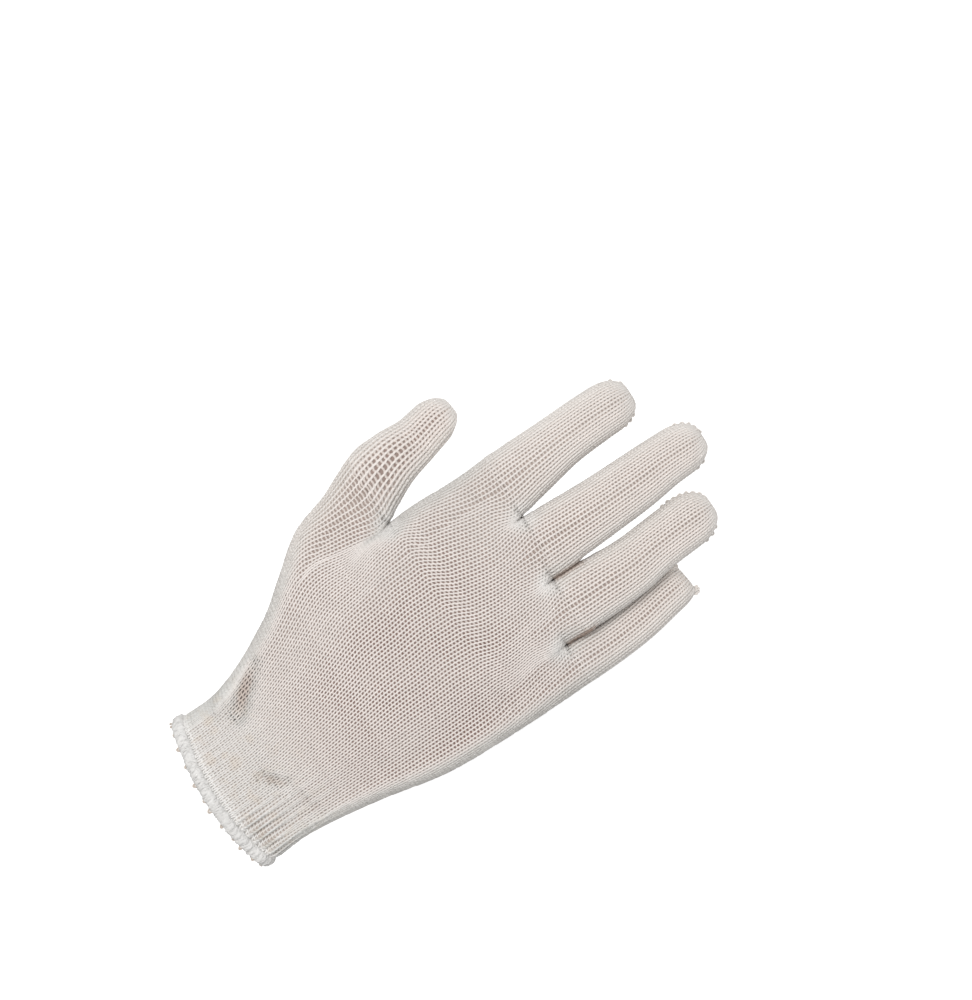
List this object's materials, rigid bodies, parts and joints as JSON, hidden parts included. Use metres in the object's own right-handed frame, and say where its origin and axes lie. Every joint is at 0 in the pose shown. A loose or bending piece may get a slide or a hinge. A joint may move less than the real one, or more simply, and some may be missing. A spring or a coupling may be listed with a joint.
{
  "type": "knit work glove",
  "caption": "Seamless knitted work glove for a right hand, rounded as worn, with an elastic cuff and an overlocked wrist edge.",
  "frame": {"origin": "middle of the wrist opening, at the overlocked edge", "axes": "+X from the wrist to the fingertips, +Y to the thumb side, +Z out of the back of the hand"},
  "size_m": [0.2276, 0.1237, 0.0554],
  "materials": {
    "knit_yarn": "matt, slightly fuzzy spun yarn",
    "overlock_thread": "matt, fluffy overlock thread"
  },
  "bodies": {
    "root": {"wrist_hem": "overlock_thread", "cuff": "knit_yarn", "hand": "knit_yarn", "little_finger": "knit_yarn", "ring_finger": "knit_yarn", "middle_finger": "knit_yarn", "index_finger": "knit_yarn", "thumb": "knit_yarn"}
  },
  "joints": []
}
